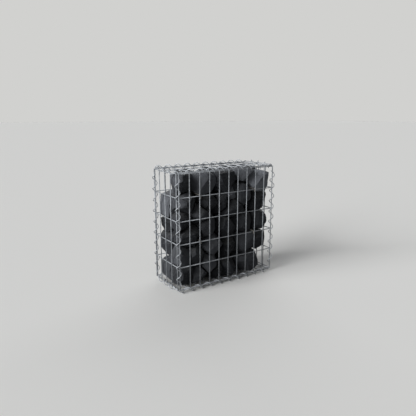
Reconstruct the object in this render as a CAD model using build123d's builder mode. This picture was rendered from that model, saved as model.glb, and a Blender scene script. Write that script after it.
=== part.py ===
from build123d import *
from math import cos, sin, radians, sqrt
import os
import random

# Free-standing gabion basket: six welded mesh panels laced together by twelve
# spirals and filled with angular broken stone.
# X runs along the long side, Y from front to back, +Z up, and the origin is the
# centre of the footprint on the ground. All sizes are in millimetres.

# Mesh
cell_width = 50.0  # between neighbouring upright wires, and between cross wires
cell_height = 100.0  # between neighbouring level wires
long_cells = 10  # cells along the front and back panels
end_cells = 4  # cells across the end panels
level_cells = 5  # cells up every standing panel
strip_cells = 2  # rows of cells across the lid and the base
wire_diameter = 4.0
weld_sink = 0.6  # how far crossing wires are pressed into each other

# Lacing spirals
spiral_wire = 3.5
spiral_diameter = 20.0  # of the wire's centre line
spiral_steps = 8  # straight runs that make one turn
spiral_trim = 3  # runs left out at each end, where three spirals meet
spiral_lag = 65.0  # degrees that it has still to turn to its outward side at a mesh wire
seat_play = 1.1  # of the spiral over the edge wires

# Spacer wires through the fill
spacer_wire = 3.0
spacer_columns = 3  # cells from the middle to each column of spacers
spacer_levels = (2, 4)  # level wires that they hook over
spacer_play = 0.5
spacer_tail = 14.0  # length of the bent-down hook
spacer_bend = 1.8  # cut across the corner of the bend

# Fill
fill_play = 0.4  # between the stones and the mesh
stone_play = 0.3  # between touching stones
touch_cut = 0.1  # least that a neighbour takes off a stone
corner_room = 2.0  # between the stones and a spiral

# Bars with flat sides stand for round wire of about the same section
bar_sides = 6
spiral_bar_sides = 4
bar_swell = 1.08  # corner radius over wire radius

# Worked out from the sizes above
long_span = long_cells * cell_width
end_span = end_cells * cell_width
level_span = level_cells * cell_height
strip_width = end_span / strip_cells
layer_step = wire_diameter - weld_sink
corner_play = 0.3  # between the wire ends of neighbouring panels
seam_step = layer_step + wire_diameter + corner_play
bar_radius = wire_diameter / 2 * bar_swell
spiral_radius = spiral_diameter / 2
spiral_bar_radius = spiral_wire / 2 * bar_swell
seat_radius = spiral_radius - spiral_wire / 2 - wire_diameter / 2 - seat_play


def seam_centre(first, second):
    """Centre of the spiral that rings two edge wires, pulled outwards onto them."""
    gap = first - second
    shift = sqrt(max(seat_radius**2 - (gap.length / 2) ** 2, 0))
    outward = Vector(abs(gap.Y), abs(gap.X)).normalized()
    return (first + second) * 0.5 + outward * shift


# Each seam is seen along its edge: the first number points out of the first
# panel, the second out of the second panel, both from the basket's middle.
upright_seam = seam_centre(
    Vector(end_span / 2 + seam_step, long_span / 2),
    Vector(end_span / 2, long_span / 2 + seam_step),
)
long_seam = seam_centre(
    Vector(end_span / 2 + seam_step - layer_step, level_span / 2),
    Vector(end_span / 2, level_span / 2 + seam_step - layer_step),
)
end_seam = seam_centre(
    Vector(long_span / 2 + seam_step - layer_step, level_span / 2),
    Vector(long_span / 2, level_span / 2 + seam_step),
)
middle_height = max(long_seam.Y, end_seam.Y) + spiral_radius + spiral_wire / 2
middle = Vector(0, 0, middle_height)

os.makedirs("parts", exist_ok=True)


def save(part, name):
    part.label = name
    export_step(part, f"parts/{name}.step")


def mesh_panel(name, face, outer_cells, outer_step, inner_cells, inner_step):
    """Welded panel. Its outer wires run along the face's y, its inner ones along x."""
    outer_length = inner_cells * inner_step + wire_diameter
    inner_length = outer_cells * outer_step + wire_diameter
    outer_start = Plane(
        origin=face.from_local_coords((0, -outer_length / 2, 0)),
        x_dir=face.x_dir,
        z_dir=face.y_dir,
    )
    inner_start = Plane(
        origin=face.from_local_coords((-inner_length / 2, 0, -layer_step)),
        x_dir=face.y_dir,
        z_dir=face.x_dir,
    )
    with BuildPart() as panel:
        with BuildSketch(outer_start):
            with GridLocations(outer_step, outer_step, outer_cells + 1, 1):
                RegularPolygon(bar_radius, bar_sides, rotation=90)
        extrude(amount=outer_length)
        with BuildSketch(inner_start):
            with GridLocations(inner_step, inner_step, inner_cells + 1, 1):
                RegularPolygon(bar_radius, bar_sides, rotation=90)
        extrude(amount=inner_length)
    save(panel.part, name)


# Standing panels: uprights outside, level wires inside
for side, y_sign in (("front", -1), ("back", 1)):
    face = Plane(
        origin=middle + Vector(0, y_sign * (end_span / 2 + seam_step), 0),
        x_dir=(-y_sign, 0, 0),
        z_dir=(0, y_sign, 0),
    )
    mesh_panel(f"{side}_mesh", face, long_cells, cell_width, level_cells, cell_height)

for side, x_sign in (("left", -1), ("right", 1)):
    face = Plane(
        origin=middle + Vector(x_sign * (long_span / 2 + seam_step), 0, 0),
        x_dir=(0, x_sign, 0),
        z_dir=(x_sign, 0, 0),
    )
    mesh_panel(f"{side}_mesh", face, end_cells, cell_width, level_cells, cell_height)

# Base and lid: cross wires outside, long wires inside
for side, z_sign in (("base", -1), ("lid", 1)):
    face = Plane(
        origin=middle + Vector(0, 0, z_sign * (level_span / 2 + seam_step)),
        x_dir=(1, 0, 0),
        z_dir=(0, 0, z_sign),
    )
    mesh_panel(f"{side}_mesh", face, long_cells, cell_width, strip_cells, strip_width)


def lacing_spiral(name, seam, length, trim):
    """Right-handed spiral along the seam's z. The seam's x points outwards."""
    turns = round(length / cell_width)
    pitch = length / turns
    turn_step = 360 / spiral_steps
    skipped = spiral_lag // turn_step
    points = []
    for number in range(trim, turns * spiral_steps - trim):
        turned = turn_step * (number - skipped)
        along = pitch * (turned + spiral_lag) / 360
        angle = radians(turned)
        spot = (spiral_radius * cos(angle), spiral_radius * sin(angle), along)
        points.append(seam.from_local_coords(spot))
    with BuildPart() as spiral:
        with BuildLine() as path:
            Polyline(*points)
        with BuildSketch(Plane(origin=points[0], z_dir=path.line % 0)):
            RegularPolygon(spiral_bar_radius, spiral_bar_sides)
        sweep(path=path.line, transition=Transition.RIGHT)
    save(spiral.part, name)


for side, y_sign in (("front", -1), ("back", 1)):
    for edge, z_sign in (("top", 1), ("bottom", -1)):
        start = Vector(-long_span / 2, y_sign * long_seam.X, z_sign * long_seam.Y)
        seam = Plane(origin=middle + start, x_dir=(0, y_sign, z_sign), z_dir=(1, 0, 0))
        lacing_spiral(f"{side}_{edge}_spiral", seam, long_span, 0)
    for end, x_sign in (("left", -1), ("right", 1)):
        start = Vector(x_sign * upright_seam.Y, y_sign * upright_seam.X, -level_span / 2)
        seam = Plane(origin=middle + start, x_dir=(x_sign, y_sign, 0), z_dir=(0, 0, 1))
        lacing_spiral(f"{side}_{end}_spiral", seam, level_span, spiral_trim)

for end, x_sign in (("left", -1), ("right", 1)):
    for edge, z_sign in (("top", 1), ("bottom", -1)):
        start = Vector(x_sign * end_seam.X, -end_span / 2, z_sign * end_seam.Y)
        seam = Plane(origin=middle + start, x_dir=(x_sign, 0, z_sign), z_dir=(0, 1, 0))
        lacing_spiral(f"{end}_{edge}_spiral", seam, end_span, spiral_trim)

# Spacer wires: each lies on a front and a back level wire, beside an upright, and
# its ends are bent down over them outside the basket.
rest_y = end_span / 2 + seam_step - layer_step  # axis of the standing panels' level wires
spacer_rise = (wire_diameter + spacer_wire) / 2 + spacer_play
spacer_shift = (wire_diameter + spacer_wire) / 2 + spacer_play
hook_y = rest_y + spacer_rise
spacer_spots = []
for x_sign in (-1, 1):
    for level in spacer_levels:
        x = x_sign * (spacer_columns * cell_width - spacer_shift)
        z = middle_height - level_span / 2 + level * cell_height + spacer_rise
        spacer_spots.append((x, z))

for number, (x, z) in enumerate(spacer_spots, start=1):
    with BuildPart() as spacer:
        with BuildLine(Plane(origin=(x, 0, z), x_dir=(0, 1, 0), z_dir=(1, 0, 0))) as path:
            Polyline(
                (-hook_y, -spacer_tail),
                (-hook_y, -spacer_bend),
                (spacer_bend - hook_y, 0),
                (hook_y - spacer_bend, 0),
                (hook_y, -spacer_bend),
                (hook_y, -spacer_tail),
            )
        with BuildSketch(Plane(origin=path.line @ 0, z_dir=path.line % 0)):
            RegularPolygon(spacer_wire / 2 * bar_swell, bar_sides)
        sweep(path=path.line, transition=Transition.RIGHT)
    save(spacer.part, f"spacer_{number}")

# Fill. Each stone is the room around its own middle, parted from its neighbours by
# flat breaks. Its corners are knocked off, and it slopes away from where it meets
# the mesh.
inner_x = long_span / 2 + seam_step - layer_step - bar_radius - fill_play
inner_y = end_span / 2 + seam_step - layer_step - bar_radius - fill_play
inner_z = level_span / 2 + seam_step - layer_step - bar_radius - fill_play
spiral_reach = spiral_radius + spiral_bar_radius + corner_room

# Middle and size of each stone, course by course from the top: the shares of the
# basket's length from the left end and of its height, then the size as a share of
# the height. In the front row the way that the largest slope faces follows, in degrees
# anticlockwise from the right, and how far from the stone's middle it starts.
front_row = {
    "top": (
        (0.07, 0.91, 0.08, 135, 18),
        (0.29, 0.90, 0.11, 150, 0),
        (0.51, 0.90, 0.10, 95, 30),
        (0.75, 0.96, 0.06, 120, -8),
        (0.89, 0.86, 0.10, 152, -4),
    ),
    "upper": (
        (0.11, 0.73, 0.08, 165, 10),
        (0.34, 0.73, 0.07, 280, 8),
        (0.48, 0.72, 0.06, 100, 12),
        (0.58, 0.76, 0.04, 110, 0),
        (0.71, 0.75, 0.10, 95, 28),
        (0.89, 0.68, 0.08, 340, 6),
    ),
    "middle": (
        (0.07, 0.58, 0.08, 290, 8),
        (0.24, 0.62, 0.07, 130, 4),
        (0.32, 0.51, 0.09, 20, 16),
        (0.53, 0.45, 0.08, 300, 6),
        (0.62, 0.64, 0.08, 80, 14),
        (0.73, 0.49, 0.09, 60, 20),
        (0.91, 0.49, 0.09, 250, 16),
    ),
    "lower": (
        (0.16, 0.43, 0.10, 110, 18),
        (0.38, 0.32, 0.09, 130, 4),
        (0.54, 0.28, 0.08, 320, 6),
        (0.75, 0.30, 0.09, 140, 6),
        (0.89, 0.31, 0.08, 100, 12),
    ),
    "bottom": (
        (0.07, 0.27, 0.07, 200, 12),
        (0.20, 0.26, 0.07, 30, 14),
        (0.33, 0.17, 0.08, 90, 12),
        (0.07, 0.09, 0.08, 270, 10),
        (0.23, 0.08, 0.08, 120, 4),
        (0.42, 0.06, 0.06, 330, 4),
        (0.55, 0.07, 0.08, 170, 12),
        (0.78, 0.10, 0.10, 80, 20),
    ),
}
back_row = {
    "top": (
        (0.27, 0.91, 0.09),
        (0.49, 0.90, 0.11),
        (0.71, 0.90, 0.10),
        (0.92, 0.90, 0.09),
    ),
    "upper": (
        (0.29, 0.74, 0.09),
        (0.43, 0.76, 0.05),
        (0.53, 0.72, 0.07),
        (0.68, 0.73, 0.08),
        (0.90, 0.73, 0.09),
    ),
    "middle": (
        (0.09, 0.68, 0.11),
        (0.08, 0.53, 0.07),
        (0.38, 0.62, 0.08),
        (0.27, 0.49, 0.09),
        (0.48, 0.45, 0.08),
        (0.69, 0.51, 0.10),
        (0.91, 0.57, 0.09),
    ),
    "lower": (
        (0.09, 0.34, 0.10),
        (0.25, 0.30, 0.08),
        (0.45, 0.28, 0.08),
        (0.63, 0.32, 0.09),
        (0.85, 0.42, 0.09),
    ),
    "bottom": (
        (0.10, 0.09, 0.10),
        (0.30, 0.10, 0.09),
        (0.48, 0.08, 0.08),
        (0.62, 0.12, 0.07),
        (0.78, 0.20, 0.08),
        (0.93, 0.27, 0.08),
        (0.76, 0.06, 0.06),
        (0.92, 0.09, 0.08),
    ),
}
# Places that the fill leaves empty: shares of the length, depth and height, and size
hollows = (
    (0.99, 0.25, 0.10, 0.09),
    (1.06, 0.25, 0.26, 0.03),
    (1.03, 0.25, 0.39, 0.02),
    (1.04, 0.25, 0.61, 0.03),
    (0.95, 0.25, 1.05, 0.07),
    (0.02, 0.80, 0.92, 0.12),
    (-0.04, 0.85, 0.44, 0.05),
    (-0.04, 0.85, 0.22, 0.05),
    (-0.03, 1.02, 0.02, 0.05),
    (0.17, 0.04, 0.89, 0.03),
    (0.09, 0.04, 0.81, 0.02),
    (0.21, 0.04, 0.81, 0.01),
    (0.41, 0.04, 0.81, 0.01),
    (0.61, 0.04, 0.82, 0.01),
    (0.56, 0.04, 0.70, 0.01),
    (0.81, 0.04, 0.76, 0.01),
    (0.20, 0.04, 0.70, 0.02),
    (0.07, 0.04, 0.66, 0.01),
    (0.42, 0.04, 0.64, 0.01),
    (0.81, 0.04, 0.67, 0.01),
    (0.17, 0.04, 0.54, 0.05),
    (0.41, 0.04, 0.52, 0.02),
    (0.80, 0.04, 0.50, 0.01),
    (0.63, 0.04, 0.54, 0.01),
    (0.11, 0.04, 0.34, 0.01),
    (0.28, 0.04, 0.35, 0.00),
    (0.45, 0.04, 0.40, 0.01),
    (0.66, 0.04, 0.38, 0.01),
    (0.44, 0.04, 0.21, 0.01),
    (0.65, 0.04, 0.17, 0.01),
    (0.28, 0.04, 0.00, 0.03),
    (0.37, 0.04, 0.02, 0.02),
    (0.48, 0.04, -0.01, 0.03),
    (0.67, 0.04, 0.02, 0.03),
)
row_depth = {"front": 0.25, "back": 0.75}  # share of the depth, from the front
depth_spread = 0.03
random.seed(7)


def place(share_x, share_y, share_z):
    """Point inside the basket at shares of its length, depth and height."""
    x = (share_x - 0.5) * long_span
    y = (share_y - 0.5) * end_span
    return middle + Vector(x, y, (share_z - 0.5) * level_span)


stones = []
for row, courses in (("front", front_row), ("back", back_row)):
    for course, shares in courses.items():
        for share_x, share_z, size, *slope in shares:
            share_y = row_depth[row] + random.uniform(-depth_spread, depth_spread)
            spot = place(share_x, share_y, share_z)
            stones.append((f"{row}_{course}_stones", spot, size * level_span, slope))
rooms = [(spot, size) for _, spot, size, _ in stones]
for share_x, share_y, share_z, size in hollows:
    rooms.append((place(share_x, share_y, share_z), size * level_span))

neighbour_reach = 190.0
spacer_reach = 110.0
end_reach = 80.0  # a stone nearer than this to the end or the lid slopes there too
spacer_room = spacer_wire / 2 + spacer_play
slope_count = 3
slope_tilt = (10.0, 28.0)  # degrees away from the mesh
slope_start = (3.0, 13.0)  # from the middle of the flat that meets the mesh
main_tilt = 39.0  # of a front stone's largest slope
turn_spread = 25.0  # degrees that slopes and chips stray from an even ring
chip_count = 4
chip_lean = (10.0, 42.0)  # degrees that a chip faces outwards
chip_depth = (0.78, 0.93)  # share of a corner's distance from the middle that is left
least_cut = 0.5


def edge_planes():
    """Planes that keep the stones clear of the spirals along the twelve edges."""
    planes = []
    for first in (-1, 1):
        for second in (-1, 1):
            for spot in (
                Vector(first * upright_seam.Y, second * upright_seam.X, 0),
                Vector(0, first * long_seam.X, second * long_seam.Y),
                Vector(first * end_seam.X, 0, second * end_seam.Y),
            ):
                signs = [(value > 0) - (value < 0) for value in spot]
                outward = Vector(*signs).normalized()
                planes.append((middle + spot - outward * spiral_reach, outward))
    return planes


def neighbour_planes(spot, size):
    """Planes halfway to each neighbour, shifted towards the smaller stone."""
    planes = []
    for other, other_size in rooms:
        apart = other - spot
        if 0 < apart.length < neighbour_reach:
            normal = apart.normalized()
            half = apart.length / 2 + (size**2 - other_size**2) / (2 * apart.length)
            planes.append((spot + normal * (half - stone_play / 2), normal))
    return planes


def spacer_planes(spot):
    """Planes that keep a stone off the spacer wires."""
    planes = []
    for x, z in spacer_spots:
        apart = Vector(x - spot.X, 0, z - spot.Z)
        if apart.length < spacer_reach:
            normal = apart.normalized()
            planes.append((spot + apart - normal * spacer_room, normal))
    return planes


def mesh_sides(spot):
    """Way out, distance and a level way along, for each mesh wall that a stone is near."""
    sides = [(Vector(0, 1 if spot.Y > 0 else -1, 0), inner_y - abs(spot.Y), Vector(1, 0, 0))]
    if inner_x - abs(spot.X) < end_reach:
        outward = Vector(1 if spot.X > 0 else -1, 0, 0)
        sides.append((outward, inner_x - abs(spot.X), Vector(0, 1, 0)))
    if middle_height + inner_z - spot.Z < end_reach:
        outward = Vector(0, 0, 1)
        sides.append((outward, middle_height + inner_z - spot.Z, Vector(1, 0, 0)))
    return sides


def ring_turns(first, count):
    """Turns spread round a full circle, not quite evenly."""
    stray = [random.uniform(-turn_spread, turn_spread) for _ in range(count)]
    return [first + 360 / count * number + stray[number] for number in range(count)]


def slope_planes(spot, slope):
    """Slopes on the sides that face the mesh, around a small flat that meets it."""
    planes = []
    for outward, distance, along in mesh_sides(spot):
        around = Axis((0, 0, 0), outward)
        for turn in ring_turns(random.uniform(0, 360), slope_count):
            lean = along.rotate(around, turn)
            tilt = radians(random.uniform(*slope_tilt))
            origin = spot + outward * distance + lean * random.uniform(*slope_start)
            planes.append((origin, outward * cos(tilt) + lean * sin(tilt)))
    if slope:
        way, start = slope
        outward, distance, along = mesh_sides(spot)[0]
        lean = along.rotate(Axis((0, 0, 0), outward), way)
        tilt = radians(main_tilt)
        origin = spot + outward * distance + lean * start
        planes[0] = (origin, outward * cos(tilt) + lean * sin(tilt))
    return planes


def build_stone(spot, size, slope):
    with BuildPart() as stone:
        with BuildSketch(Plane.XY.offset(middle_height - inner_z)):
            Rectangle(2 * inner_x, 2 * inner_y)
        extrude(amount=2 * inner_z)

        def trim(origin, normal, least=least_cut):
            corners = [corner.center() - origin for corner in stone.vertices()]
            if max(corner.dot(normal) for corner in corners) > least:
                split(bisect_by=Plane(origin=origin, z_dir=normal), keep=Keep.BOTTOM)

        for origin, normal in neighbour_planes(spot, size):
            trim(origin, normal, touch_cut)
        for origin, normal in edge_planes() + spacer_planes(spot) + slope_planes(spot, slope):
            trim(origin, normal)
        centre = stone.part.center()
        outward = sum((side[0] for side in mesh_sides(spot)), Vector()).normalized()
        along = outward.cross(Vector(0, 0, 1)).normalized()
        for turn in ring_turns(random.uniform(0, 360), chip_count):
            lean = along.rotate(Axis((0, 0, 0), outward), turn)
            tilt = radians(random.uniform(*chip_lean))
            normal = lean * cos(tilt) + outward * sin(tilt)
            corners = [corner.center() - centre for corner in stone.vertices()]
            reach = max(corner.dot(normal) for corner in corners)
            trim(centre + normal * (reach * random.uniform(*chip_depth)), normal)
    return stone.part


groups = {}
for name, spot, size, slope in stones:
    groups.setdefault(name, []).append(build_stone(spot, size, slope))
for name, solids in groups.items():
    save(Compound(children=solids), name)
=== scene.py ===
import math
import random

import bmesh
import bpy
from mathutils import Matrix, Vector, noise


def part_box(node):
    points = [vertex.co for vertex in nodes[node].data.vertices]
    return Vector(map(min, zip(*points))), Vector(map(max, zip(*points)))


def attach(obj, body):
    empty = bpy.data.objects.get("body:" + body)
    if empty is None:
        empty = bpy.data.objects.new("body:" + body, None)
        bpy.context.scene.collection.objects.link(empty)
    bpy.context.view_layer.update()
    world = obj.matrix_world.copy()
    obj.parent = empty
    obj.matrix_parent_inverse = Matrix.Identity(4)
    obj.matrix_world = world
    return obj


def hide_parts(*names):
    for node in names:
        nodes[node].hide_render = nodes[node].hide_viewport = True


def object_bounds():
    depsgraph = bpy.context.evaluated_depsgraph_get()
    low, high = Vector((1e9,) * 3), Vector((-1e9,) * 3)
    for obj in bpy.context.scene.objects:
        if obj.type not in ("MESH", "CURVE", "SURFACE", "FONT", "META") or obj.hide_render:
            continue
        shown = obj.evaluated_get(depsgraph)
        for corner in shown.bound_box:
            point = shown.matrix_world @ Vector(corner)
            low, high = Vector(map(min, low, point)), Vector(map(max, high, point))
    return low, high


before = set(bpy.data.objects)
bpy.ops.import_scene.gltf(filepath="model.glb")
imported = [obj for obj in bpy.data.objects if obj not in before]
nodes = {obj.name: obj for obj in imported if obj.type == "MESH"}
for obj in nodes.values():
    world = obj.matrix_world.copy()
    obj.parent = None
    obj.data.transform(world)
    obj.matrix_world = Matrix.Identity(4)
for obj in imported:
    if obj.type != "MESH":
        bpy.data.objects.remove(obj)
cad_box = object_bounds()

# Sizes of the basket, in metres, as the frame has them
wire_radius = 0.0020
layer_step = 0.0034  # between the axes of two welded layers of wire
long_cells = 10
end_cells = 4
level_cells = 5
strip_cells = 2  # across the base and the lid
spiral_wire_radius = 0.00175
spiral_radius = 0.0100
spiral_pitch = 0.050
spiral_lag = 65.0  # degrees that it has still to turn to its outward side at a mesh wire
spiral_run = 45.0  # degrees of each straight run of the CAD spiral
spacer_radius = 0.0015
spacer_bend = 0.0030  # radius of its bent ends, along the axis of the wire
weld_reach = 0.0024  # half the width of the bead at a crossing
weld_depth = 0.0013  # half its height, across the two layers
mesh_wire_sides = 12
thin_wire_sides = 10


# Tools for nodes, colours and pieces


def linear(hex_colour):
    """Linear colour of an sRGB hex value."""
    channels = [int(hex_colour[i : i + 2], 16) / 255 for i in (1, 3, 5)]
    curve = [c / 12.92 if c <= 0.04045 else ((c + 0.055) / 1.055) ** 2.4 for c in channels]
    return (*curve, 1.0)


def add(tree, kind, settings=None, links=None):
    """Node of one kind, with its properties and socket values set and its inputs linked."""
    node = tree.nodes.new(kind)
    for name, value in (settings or {}).items():
        if name in node.inputs:
            node.inputs[name].default_value = value
        else:
            setattr(node, name, value)
    for name, source in (links or {}).items():
        tree.links.new(source, node.inputs[name])
    return node


def scale_for(millimetres):
    """Noise scale whose patches are about this wide, as Object coordinates are in metres."""
    return 1000 / millimetres


def new_material(name):
    """Empty node material and its surface shader."""
    material = bpy.data.materials.new(name)
    material.use_nodes = True
    tree = material.node_tree
    tree.nodes.clear()
    shader = add(tree, "ShaderNodeBsdfPrincipled")
    add(tree, "ShaderNodeOutputMaterial", links={"Surface": shader.outputs["BSDF"]})
    return material, tree, shader


def finish_piece(name, bm, material, replaced):
    """Mesh object from a bmesh, standing for the CAD nodes that it replaces."""
    bmesh.ops.recalc_face_normals(bm, faces=bm.faces)
    mesh = bpy.data.meshes.new(name)
    bm.to_mesh(mesh)
    bm.free()
    mesh.shade_smooth()
    piece = bpy.data.objects.new(name, mesh)
    bpy.context.scene.collection.objects.link(piece)
    mesh.materials.append(material)
    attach(piece, "root")
    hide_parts(*replaced)
    return piece


# Materials


def galvanised_wire(name, light, dark, roughness):
    """Drawn steel wire, hot-dip galvanised and weathered: its zinc has turned a dull cloudy grey
    that keeps only a soft sheen, so the colour shows more than reflections do."""
    cloud_size = 11  # patches of zinc that have dulled more or less, in millimetres
    grain_size = 1.1  # really 0.2 or so, drawn coarser because that is too fine to show
    grain_depth = 0.0002  # metres
    material, tree, shader = new_material(name)
    place = add(tree, "ShaderNodeTexCoord").outputs["Object"]
    cloud = add(
        tree,
        "ShaderNodeTexNoise",
        {"Scale": scale_for(cloud_size), "Detail": 4.0, "Roughness": 0.6},
        {"Vector": place},
    )
    ramp = add(tree, "ShaderNodeValToRGB", links={"Fac": cloud.outputs["Fac"]})
    ramp.color_ramp.elements[0].position = 0.35
    ramp.color_ramp.elements[0].color = linear(dark)
    ramp.color_ramp.elements[1].position = 0.62
    ramp.color_ramp.elements[1].color = linear(light)
    tree.links.new(ramp.outputs["Color"], shader.inputs["Base Color"])
    shader.inputs["Metallic"].default_value = 0.35
    rough = add(
        tree,
        "ShaderNodeMapRange",
        {"To Min": roughness - 0.08, "To Max": roughness + 0.10},
        {"Value": cloud.outputs["Fac"]},
    )
    tree.links.new(rough.outputs["Result"], shader.inputs["Roughness"])
    grain = add(
        tree,
        "ShaderNodeTexNoise",
        {"Scale": scale_for(grain_size), "Detail": 2.0},
        {"Vector": place},
    )
    bump = add(
        tree,
        "ShaderNodeBump",
        {"Strength": 0.25, "Distance": grain_depth},
        {"Height": grain.outputs["Fac"]},
    )
    tree.links.new(bump.outputs["Normal"], shader.inputs["Normal"])
    return material


def broken_basalt():
    """Quarry-broken basalt: near-black grey with a blue cast, a fine crystalline grain,
    pale stone dust on faces that look up, and patchy paler bruises along broken edges."""
    cloud_size = 45  # slow change from darker to paler stone, in millimetres
    hackle_size = 10.5  # ridges and hollows that the break leaves on a face
    chatter_size = 11  # chips that interrupt a bruised edge
    speck_size = 3.3  # crystals, really 1 or so, drawn coarser because that is too fine to show
    grain_size = 2.4  # roughness of the crystals, drawn coarser for the same reason
    hackle_depth = 0.0030  # metres
    grain_depth = 0.0010  # metres
    material, tree, shader = new_material("broken_basalt")
    place = add(tree, "ShaderNodeTexCoord").outputs["Object"]
    tone = add(tree, "ShaderNodeAttribute", {"attribute_name": "tone"}).outputs["Fac"]
    cloud = add(
        tree,
        "ShaderNodeTexNoise",
        {"Scale": scale_for(cloud_size), "Detail": 6.0, "Roughness": 0.62},
        {"Vector": place},
    ).outputs["Fac"]
    speck = add(
        tree,
        "ShaderNodeTexNoise",
        {"Scale": scale_for(speck_size), "Detail": 6.0, "Roughness": 0.75},
        {"Vector": place},
    ).outputs["Fac"]
    mottle = add(
        tree, "ShaderNodeMix", {"data_type": "FLOAT", "Factor": 0.45}, {"A": cloud, "B": speck}
    ).outputs["Result"]
    body = add(tree, "ShaderNodeValToRGB", links={"Fac": mottle})
    body.color_ramp.elements[0].position = 0.36
    body.color_ramp.elements[0].color = linear("#141517")
    body.color_ramp.elements[1].position = 0.62
    body.color_ramp.elements[1].color = linear("#292B2E")
    # The tone attribute is each stone's own paleness, and on some stones also painted light on
    # the faces toward the key light
    paler = add(
        tree,
        "ShaderNodeMix",
        {"data_type": "RGBA", "clamp_factor": False, "B": linear("#787B81")},
        {"Factor": tone, "A": body.outputs["Color"]},
    )
    facing = add(tree, "ShaderNodeNewGeometry").outputs["Normal"]
    up = add(tree, "ShaderNodeSeparateXYZ", links={"Vector": facing}).outputs["Z"]
    lie = add(
        tree,
        "ShaderNodeMapRange",
        {"From Min": 0.25, "From Max": 0.95},
        {"Value": up},
    ).outputs["Result"]
    patch = add(
        tree,
        "ShaderNodeMapRange",
        {"From Min": 0.35, "From Max": 0.75, "To Max": 0.5},
        {"Value": speck},
    ).outputs["Result"]
    settled = add(
        tree,
        "ShaderNodeMapRange",
        {"From Min": 0.35, "From Max": 0.65},
        {"Value": cloud},
    ).outputs["Result"]
    laid = add(
        tree, "ShaderNodeMath", {"operation": "MULTIPLY"}, {0: lie, 1: settled}
    ).outputs["Value"]
    dust = add(
        tree, "ShaderNodeMath", {"operation": "MULTIPLY"}, {0: laid, 1: patch}
    ).outputs["Value"]
    dusty = add(
        tree,
        "ShaderNodeMix",
        {"data_type": "RGBA", "B": linear("#85847F")},
        {"Factor": dust, "A": paler.outputs["Result"]},
    )
    crystals = add(
        tree,
        "ShaderNodeMapRange",
        {"From Min": 0.57, "From Max": 0.70, "To Max": 0.30},
        {"Value": speck},
    ).outputs["Result"]
    flecked = add(
        tree,
        "ShaderNodeMix",
        {"data_type": "RGBA", "B": linear("#8A8D92")},
        {"Factor": crystals, "A": dusty.outputs["Result"]},
    )
    struck = add(tree, "ShaderNodeAttribute", {"attribute_name": "bruise"}).outputs["Fac"]
    near_edge = add(
        tree, "ShaderNodeMapRange", {"From Min": 0.2, "From Max": 1.0}, {"Value": struck}
    ).outputs["Result"]
    chatter = add(
        tree,
        "ShaderNodeTexNoise",
        {"Scale": scale_for(chatter_size), "Detail": 5.0, "Roughness": 0.75},
        {"Vector": place},
    ).outputs["Fac"]
    broken_up = add(
        tree,
        "ShaderNodeMapRange",
        {"From Min": 0.46, "From Max": 0.66, "To Max": 0.36},
        {"Value": chatter},
    ).outputs["Result"]
    bruised = add(tree, "ShaderNodeMath", {"operation": "MULTIPLY"}, {0: near_edge, 1: broken_up})
    edged = add(
        tree,
        "ShaderNodeMix",
        {"data_type": "RGBA", "B": linear("#6A6D72")},
        {"Factor": bruised.outputs["Value"], "A": flecked.outputs["Result"]},
    )
    tree.links.new(edged.outputs["Result"], shader.inputs["Base Color"])
    shader.inputs["Roughness"].default_value = 0.8
    shader.inputs["IOR"].default_value = 1.55
    shader.inputs["Specular IOR Level"].default_value = 0.08
    grain = add(
        tree,
        "ShaderNodeTexNoise",
        {"Scale": scale_for(grain_size), "Detail": 8.0, "Roughness": 0.65},
        {"Vector": place},
    ).outputs["Fac"]
    hackle = add(
        tree,
        "ShaderNodeTexNoise",
        {
            "Scale": scale_for(hackle_size),
            "Detail": 5.0,
            "Roughness": 0.6,
            "Distortion": 0.6,
        },
        {"Vector": place},
    ).outputs["Fac"]
    uneven = add(
        tree,
        "ShaderNodeBump",
        {"Strength": 0.85, "Distance": hackle_depth},
        {"Height": hackle},
    )
    bump = add(
        tree,
        "ShaderNodeBump",
        {"Strength": 0.9, "Distance": grain_depth},
        {"Height": grain, "Normal": uneven.outputs["Normal"]},
    )
    tree.links.new(bump.outputs["Normal"], shader.inputs["Normal"])
    return material


mesh_zinc = galvanised_wire("galvanised_mesh_wire", "#A5A9AE", "#82868B", 0.55)
spiral_zinc = galvanised_wire("galvanised_spiral_wire", "#B6BABF", "#92969B", 0.50)
spacer_zinc = galvanised_wire("galvanised_spacer_wire", "#A8A49E", "#7E7B76", 0.58)
basalt = broken_basalt()


# Welded mesh


def mesh_bar(bm, start, end):
    """Round wire of a panel between two points."""
    along = end - start
    turn = along.to_track_quat("Z", "Y").to_matrix().to_4x4()
    bmesh.ops.create_cone(
        bm,
        cap_ends=True,
        segments=mesh_wire_sides,
        radius1=wire_radius,
        radius2=wire_radius,
        depth=along.length,
        matrix=Matrix.Translation((start + end) / 2) @ turn,
    )


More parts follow.
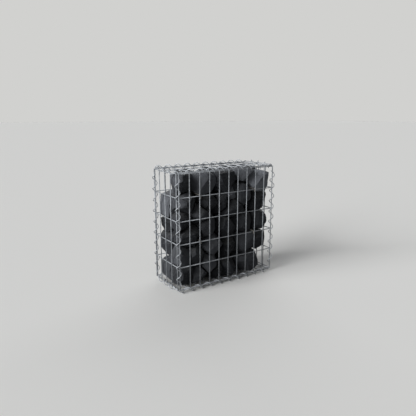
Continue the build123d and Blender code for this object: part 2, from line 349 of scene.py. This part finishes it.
def mesh_panel(node_name, across, up, out, outer_cells, inner_cells):
    """Welded panel in the box of its CAD node: outer wires along up, inner wires along across."""
    low, high = (Vector(corner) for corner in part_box(node_name))
    middle = (low + high) / 2
    size = high - low
    half_across = abs(size.dot(across)) / 2
    half_up = abs(size.dot(up)) / 2
    outer_level = layer_step / 2
    span_across = 2 * (half_across - wire_radius)
    span_up = 2 * (half_up - wire_radius)
    bm = bmesh.new()
    spots_across = [span_across * (k / outer_cells - 0.5) for k in range(outer_cells + 1)]
    spots_up = [span_up * (j / inner_cells - 0.5) for j in range(inner_cells + 1)]
    for spot in spots_across:
        base = middle + across * spot + out * outer_level
        mesh_bar(bm, base - up * half_up, base + up * half_up)
    for spot in spots_up:
        base = middle + up * spot - out * outer_level
        mesh_bar(bm, base - across * half_across, base + across * half_across)
    turn = Matrix((across, up, out)).transposed().to_4x4()
    weld_size = Matrix.Diagonal((weld_reach, weld_reach, weld_depth, 1.0))
    for spot_across in spots_across:
        for spot_up in spots_up:
            centre = middle + across * spot_across + up * spot_up
            bmesh.ops.create_icosphere(
                bm,
                subdivisions=2,
                radius=1.0,
                matrix=Matrix.Translation(centre) @ turn @ weld_size,
            )
    return finish_piece(f"{node_name}_wires", bm, mesh_zinc, [node_name])


x_axis = Vector((1, 0, 0))
y_axis = Vector((0, 1, 0))
z_axis = Vector((0, 0, 1))
mesh_panel("front_mesh", x_axis, z_axis, -y_axis, long_cells, level_cells)
mesh_panel("back_mesh", x_axis, z_axis, y_axis, long_cells, level_cells)
mesh_panel("left_mesh", y_axis, z_axis, -x_axis, end_cells, level_cells)
mesh_panel("right_mesh", y_axis, z_axis, x_axis, end_cells, level_cells)
mesh_panel("base_mesh", x_axis, y_axis, -z_axis, long_cells, strip_cells)
mesh_panel("lid_mesh", x_axis, y_axis, z_axis, long_cells, strip_cells)


# Lacing spirals

turn_steps = 20  # parts of each turn of the round spiral
runs_in_turn = round(360 / spiral_run)


def lacing_spiral(node_name, axis, out, turns, left_out):
    """Round wire wound right-handed along a seam, short of its first and last few runs."""
    low, high = (Vector(corner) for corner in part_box(node_name))
    middle = (low + high) / 2
    basket = (Vector(cad_box[0]) + Vector(cad_box[1])) / 2
    middle += axis * (basket - middle).dot(axis)
    first = spiral_run * (left_out - 1)
    sweep_angle = math.radians(spiral_run * (runs_in_turn * turns - 2 * left_out - 1))
    along = spiral_pitch * (first + spiral_lag) / 360
    start = middle + axis * (along - spiral_pitch * turns / 2)
    side = axis.cross(out)
    radial = out * math.cos(math.radians(first)) + side * math.sin(math.radians(first))
    heading = axis.cross(radial) * (2 * math.pi * spiral_radius) + axis * spiral_pitch
    turn = heading.to_track_quat("Z", "Y").to_matrix().to_4x4()
    bm = bmesh.new()
    bmesh.ops.create_circle(
        bm,
        cap_ends=False,
        segments=thin_wire_sides,
        radius=spiral_wire_radius,
        matrix=Matrix.Translation(start + radial * spiral_radius) @ turn,
    )
    steps = round(turn_steps * sweep_angle / (2 * math.pi))
    bmesh.ops.spin(
        bm,
        geom=bm.verts[:] + bm.edges[:],
        cent=start,
        axis=axis,
        dvec=axis * (spiral_pitch * sweep_angle / (2 * math.pi) / steps),
        angle=sweep_angle,
        steps=steps,
        use_merge=False,
    )
    rims = [edge for edge in bm.edges if edge.is_boundary]
    bmesh.ops.holes_fill(bm, edges=rims, sides=0)
    return finish_piece(f"{node_name}_wire", bm, spiral_zinc, [node_name])


for side, y_sign in (("front", -1), ("back", 1)):
    for edge, z_sign in (("top", 1), ("bottom", -1)):
        out = Vector((0, y_sign, z_sign)).normalized()
        lacing_spiral(f"{side}_{edge}_spiral", x_axis, out, long_cells, 0)
    for end, x_sign in (("left", -1), ("right", 1)):
        out = Vector((x_sign, y_sign, 0)).normalized()
        lacing_spiral(f"{side}_{end}_spiral", z_axis, out, 2 * level_cells, 3)
for end, x_sign in (("left", -1), ("right", 1)):
    for edge, z_sign in (("top", 1), ("bottom", -1)):
        out = Vector((x_sign, 0, z_sign)).normalized()
        lacing_spiral(f"{end}_{edge}_spiral", y_axis, out, end_cells, 3)


# Spacer wires


def spacer(node_name):
    """Straight tie through the fill with its ends bent down over the level wires."""
    low, high = (Vector(corner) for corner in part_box(node_name))
    x = (low.x + high.x) / 2
    top = high.z - spacer_radius
    bend = spacer_bend
    near = low.y + spacer_radius
    far = high.y - spacer_radius
    tail = high.z - low.z - bend - spacer_radius
    bm = bmesh.new()
    ring = bmesh.ops.create_circle(
        bm,
        cap_ends=True,
        segments=thin_wire_sides,
        radius=spacer_radius,
        matrix=Matrix.Translation((x, near, top - bend - tail)),
    )
    face = ring["verts"][0].link_faces[0]

    def pull(face, offset):
        """Straight run of wire on from its end face."""
        made = bmesh.ops.extrude_face_region(bm, geom=[face])["geom"]
        bmesh.ops.delete(bm, geom=[face], context="FACES_ONLY")
        verts = [item for item in made if isinstance(item, bmesh.types.BMVert)]
        bmesh.ops.translate(bm, vec=offset, verts=verts)
        return next(item for item in made if isinstance(item, bmesh.types.BMFace))

    def sweep(face, centre):
        """Bend of a quarter turn on from the end face."""
        made = bmesh.ops.spin(
            bm,
            geom=[face],
            cent=centre,
            axis=-x_axis,
            angle=math.pi / 2,
            steps=6,
            use_merge=False,
        )["geom_last"]
        return next(item for item in made if isinstance(item, bmesh.types.BMFace))

    face = pull(face, z_axis * tail)
    face = sweep(face, Vector((x, near + bend, top - bend)))
    face = pull(face, y_axis * (far - near - 2 * bend))
    face = sweep(face, Vector((x, far - bend, top - bend)))
    pull(face, -z_axis * tail)
    return finish_piece(f"{node_name}_wire", bm, spacer_zinc, [node_name])


for number in range(1, 5):
    spacer(f"spacer_{number}")


# Fill

same_corner = 0.000001  # corners nearer than this are one corner of the CAD stone
coplanar_angle = 1.0  # degrees between two triangles of one flat face
knocked_corners = 3  # breaks on each stone
knock_shares = (0.92, 0.98)  # of the reach from the middle that a knocked corner keeps
flake_share = 0.4  # of the long edges that have lost a flake
flake_length = 0.020  # shortest edge that a flake comes off
flake_depth = (0.0008, 0.0026)  # how far below the edge its break runs
flake_skew = 0.10  # most that its break leans along the edge
close_corners = 0.0012  # corners of the breaks nearer than this are joined
edge_flat = 0.0011  # how far the worn flat along an edge reaches over each face
short_flat = 0.0002  # edges of the flats shorter than this are closed up
needle_width = 0.00005  # triangles thinner than this are closed up
skin_length = 0.0070  # longest edge of the skin
skin_rounds = 5  # most halvings of an edge
swell_size = 0.045  # between the slow swells of a break
swell_depth = 0.0024
rough_size = 0.014  # between the finer bumps
rough_depth = 0.0014
rough_pattern = (0.9, 2.1, 2)  # loss of height and step in size per layer, and layers
crisp_angle = 20.0  # degrees between two breaks that meet in a crisp line

# How pale each stone is, from left to right in its course, as the photograph shows it
tones = {
    "front_top": (0.06, 0.55, 0.1, 0.65, 0.75),
    "front_upper": (0.08, 0.0, 0.12, 0.75, 0.3, 0.0),
    "front_middle": (0.0, 0.22, 0.15, 0.0, 0.08, 0.1, 0.13),
    "front_lower": (0.02, 0.25, 0.0, 0.25, 0.08),
    "front_bottom": (0.25, 0.08, 0.1, 0.2, 0.33, 0.0, 0.12, 0.2),
    "back_top": (0.15, 0.1, 0.25, 0.1),
    "back_upper": (0.1, 0.25, 0.1, 0.2, 0.1),
    "back_middle": (0.0, 0.5, 0.1, 0.25, 0.1, 0.3, 0.1),
    "back_lower": (0.1, 0.15, 0.3, 0.1, 0.15),
    "back_bottom": (0.2, 0.25, 0.1, 0.15, 0.3, 0.1, 0.12, 0.2),
}

# Large clear breaks that the photograph shows on single stones: a point of each and its normal
breaks = {
    ("front_top", 0): [((-0.222, -0.102, 0.500), (-0.54, -0.45, 0.71))],
    ("front_top", 1): [((-0.106, -0.097, 0.477), (0.17, -0.94, -0.29))],
    ("front_top", 3): [
        ((0.106, -0.088, 0.462), (-0.45, -0.87, 0.18)),
        ((0.129, -0.091, 0.484), (0.37, -0.71, -0.60)),
    ],
    ("front_top", 4): [((0.190, -0.093, 0.452), (0.07, -0.97, -0.21))],
}

# Stones whose faces toward the key light are painted paler, as painted light where the photograph
# shows them lit: which way they look, how much paler
painted_lit_faces = {
    ("front_top", 0): ((-0.75, -0.20, 0.63), 0.30),
    ("front_top", 4): ((-0.62, -0.65, 0.43), 0.65),
    ("front_upper", 0): ((-0.90, -0.20, 0.38), 0.20),
    ("front_middle", 0): ((-0.90, -0.20, 0.38), 0.12),
    ("front_lower", 0): ((-0.90, -0.20, 0.38), 0.08),
}
old_lift = 0.12  # most that an old face is paler on the other stones
paler_from = 0.35  # cosine to that direction at which a face begins to be paler
paler_blend = 0.3  # rise of the cosine over which it gets as pale as it does


def islands(bm):
    """Indices of the corners of each separate solid, from left to right."""
    bm.verts.index_update()
    solids = []
    placed = set()
    for first in bm.verts:
        if first.index in placed:
            continue
        found = [first]
        placed.add(first.index)
        for vert in found:
            for edge in vert.link_edges:
                other = edge.other_vert(vert)
                if other.index not in placed:
                    placed.add(other.index)
                    found.append(other)
        middle = sum(vert.co.x for vert in found) / len(found)
        solids.append((middle, {vert.index for vert in found}))
    return [indices for _, indices in sorted(solids, key=lambda solid: solid[0])]


def cut(bm, spot, normal):
    """Flat break that takes away what lies beyond a plane."""
    bmesh.ops.bisect_plane(
        bm,
        geom=bm.verts[:] + bm.edges[:] + bm.faces[:],
        plane_co=spot,
        plane_no=normal,
        clear_outer=True,
    )
    rims = [edge for edge in bm.edges if edge.is_boundary]
    bmesh.ops.holes_fill(bm, edges=rims, sides=0)


def knock_corners(bm, rng):
    """Flat breaks that take a little off the corners."""
    centre = sum((vert.co for vert in bm.verts), Vector()) / len(bm.verts)
    for _ in range(knocked_corners):
        normal = Vector([rng.uniform(-1, 1) for _ in range(3)]).normalized()
        reach = max((vert.co - centre).dot(normal) for vert in bm.verts)
        cut(bm, centre + normal * reach * rng.uniform(*knock_shares), normal)


def spall_edges(bm, rng):
    """Uneven flakes off some of the long edges."""
    bm.normal_update()
    flakes = []
    for edge in bm.edges:
        long_enough = edge.is_manifold and edge.calc_length() > flake_length
        if long_enough and rng.random() < flake_share:
            first, second = edge.verts
            out = (edge.link_faces[0].normal + edge.link_faces[1].normal).normalized()
            along = (second.co - first.co).normalized()
            normal = (out + along * rng.uniform(-flake_skew, flake_skew)).normalized()
            depth = rng.uniform(*flake_depth)
            flakes.append(((first.co + second.co) / 2 - normal * depth, normal))
    for spot, normal in flakes:
        cut(bm, spot, normal)


def into_triangles(bm):
    """Split every face into triangles and close up the needle-thin ones."""
    bmesh.ops.triangulate(bm, faces=bm.faces[:])
    bmesh.ops.dissolve_degenerate(bm, dist=needle_width, edges=bm.edges[:])


def skin(bm):
    """Worn flats along the edges, marked as bruised, then small faces all over."""
    worn = bm.faces.layers.int.new("worn")
    bmesh.ops.remove_doubles(bm, verts=bm.verts, dist=close_corners)
    flats = bmesh.ops.bevel(
        bm,
        geom=bm.edges[:],
        offset=edge_flat,
        offset_type="OFFSET",
        segments=1,
        profile=0.5,
        affect="EDGES",
        clamp_overlap=True,
        material=-1,
    )
    for face in flats["faces"]:
        face[worn] = 1
    bmesh.ops.dissolve_degenerate(bm, dist=short_flat, edges=bm.edges[:])
    into_triangles(bm)
    for _ in range(skin_rounds):
        long_edges = [edge for edge in bm.edges if edge.calc_length() > skin_length]
        if not long_edges:
            break
        bmesh.ops.subdivide_edges(bm, edges=long_edges, cuts=1, use_grid_fill=True)
        into_triangles(bm)
    bruise = bm.verts.layers.float.new("bruise")
    for vert in bm.verts:
        vert[bruise] = max(face[worn] for face in vert.link_faces)
    bm.faces.layers.int.remove(worn)


def weather(bm, rng):
    """Slow swells and a finer roughness, both only ever inwards."""
    bm.normal_update()
    shift = Vector([rng.uniform(-50, 50) for _ in range(3)])
    for vert in bm.verts:
        spot = vert.co + shift
        swell = 0.5 + 0.5 * noise.noise(spot / swell_size)
        rough = 0.5 + 0.5 * noise.fractal(spot / rough_size, *rough_pattern)
        vert.co -= vert.normal * (swell_depth * swell + rough_depth * rough)


def shade(stone, key, tone, rng):
    """Mark how pale each place of a stone is: on the listed stones, painted light on the faces
    toward the key light; on the others, older faces more than fresh breaks.
    """
    if key in painted_lit_faces:
        direction, lift = painted_lit_faces[key]
    else:
        direction = [rng.uniform(-1, 1) for _ in range(3)]
        lift = rng.uniform(0, old_lift)
    direction = Vector(direction).normalized()
    stone.normal_update()
    pale = stone.verts.layers.float.new("tone")
    for vert in stone.verts:
        facing = (vert.normal.dot(direction) - paler_from) / paler_blend
        vert[pale] = tone + lift * min(1.0, max(0.0, facing))


def stone_course(row, course_name, shape_rng, tone_rng):
    """The stones of one course, each broken and weathered in its own way."""
    node_name = f"{row}_{course_name}_stones"
    source = bmesh.new()
    source.from_mesh(nodes[node_name].data)
    bmesh.ops.remove_doubles(source, verts=source.verts, dist=same_corner)
    course = bmesh.new()
    for mark in ("bruise", "tone"):
        course.verts.layers.float.new(mark)
    for number, corners in enumerate(islands(source)):
        stone = source.copy()
        others = [vert for vert in stone.verts if vert.index not in corners]
        bmesh.ops.delete(stone, geom=others, context="VERTS")
        bmesh.ops.dissolve_limit(
            stone,
            angle_limit=math.radians(coplanar_angle),
            verts=stone.verts[:],
            edges=stone.edges[:],
        )
        knock_corners(stone, shape_rng)
        spall_edges(stone, shape_rng)
        key = (f"{row}_{course_name}", number)
        for spot, normal in breaks.get(key, []):
            cut(stone, Vector(spot), Vector(normal))
        skin(stone)
        weather(stone, shape_rng)
        shade(stone, key, tones[key[0]][number], tone_rng)
        mesh = bpy.data.meshes.new("stone_part")
        stone.to_mesh(mesh)
        stone.free()
        course.from_mesh(mesh)
        bpy.data.meshes.remove(mesh)
    source.free()
    piece = finish_piece(f"{node_name}_broken", course, basalt, [node_name])
    piece.data.set_sharp_from_angle(angle=math.radians(crisp_angle))
    return piece


shape_draws = random.Random(11)
tone_draws = random.Random(4)
for row in ("front", "back"):
    for course in ("top", "upper", "middle", "lower", "bottom"):
        stone_course(row, course, shape_draws, tone_draws)


# Studio

floor_size = 120.0
bm = bmesh.new()
bmesh.ops.create_grid(bm, x_segments=1, y_segments=1, size=floor_size / 2)
floor_mesh = bpy.data.meshes.new("floor")
bm.to_mesh(floor_mesh)
bm.free()
floor = bpy.data.objects.new("floor", floor_mesh)
bpy.context.scene.collection.objects.link(floor)

# Matt paint, pale to the camera and darker where its light falls back on the basket
floor_paint, tree, shader = new_material("pale_floor")
bounced = add(tree, "ShaderNodeLightPath").outputs["Is Diffuse Ray"]
paint = add(
    tree,
    "ShaderNodeMix",
    {"data_type": "RGBA", "A": linear("#ECECEA"), "B": linear("#6E6E6C")},
    {"Factor": bounced},
)
tree.links.new(paint.outputs["Result"], shader.inputs["Base Color"])
shader.inputs["Roughness"].default_value = 1.0
shader.inputs["Specular IOR Level"].default_value = 0.0
floor_mesh.materials.append(floor_paint)

# Weak light from all round, and a pale backdrop that only the camera and reflections see
world = bpy.data.worlds.new("soft_sky")
bpy.context.scene.world = world
world.use_nodes = True
sky = world.node_tree
sky.nodes.clear()
light = add(sky, "ShaderNodeBackground", {"Color": linear("#E9EBEE"), "Strength": 0.19})
backdrop = add(sky, "ShaderNodeBackground", {"Color": linear("#D1D1CF"), "Strength": 1.0})
path = add(sky, "ShaderNodeLightPath").outputs
mirrored = add(
    sky,
    "ShaderNodeMath",
    {"operation": "MAXIMUM"},
    {0: path["Is Glossy Ray"], 1: path["Is Transmission Ray"]},
).outputs["Value"]
seen = add(
    sky, "ShaderNodeMath", {"operation": "MAXIMUM"}, {0: path["Is Camera Ray"], 1: mirrored}
).outputs["Value"]
mixed = add(
    sky,
    "ShaderNodeMixShader",
    links={0: seen, 1: light.outputs["Background"], 2: backdrop.outputs["Background"]},
)
add(sky, "ShaderNodeOutputWorld", links={"Surface": mixed.outputs["Shader"]})

# A wide soft light on the left, as in the photograph, and a weak one on the far sides
for name, energy, spread, light_from in (
    ("key_light", 4.1, 44, (-0.92, -0.05, 0.34)),
    ("fill_light", 1.5, 70, (0.68, 0.70, 0.24)),
):
    lamp = bpy.data.lights.new(name, "SUN")
    lamp.energy = energy
    lamp.angle = math.radians(spread)
    lamp_holder = bpy.data.objects.new(name, lamp)
    lamp_holder.rotation_euler = (-Vector(light_from)).to_track_quat("-Z", "Y").to_euler()
    bpy.context.scene.collection.objects.link(lamp_holder)

# Camera at the photograph's place, worked out from the crossings of the mesh wires
camera_place = Vector((-1.0404, -1.5355, 0.7409))
camera_turn = math.radians(33.12)  # to the right of straight at the front
camera_tilt = math.radians(12.55)  # downwards
focal_share = 408.5 / 416  # focal length as a share of the frame's width
sensor = 36.0
camera = bpy.data.cameras.new("camera")
camera.sensor_width = sensor
camera.lens = sensor * focal_share
holder = bpy.data.objects.new("camera", camera)
holder.location = camera_place
holder.rotation_euler = (math.pi / 2 - camera_tilt, 0, -camera_turn)
bpy.context.scene.collection.objects.link(holder)
bpy.context.scene.camera = holder
bpy.context.scene.view_settings.view_transform = "Standard"
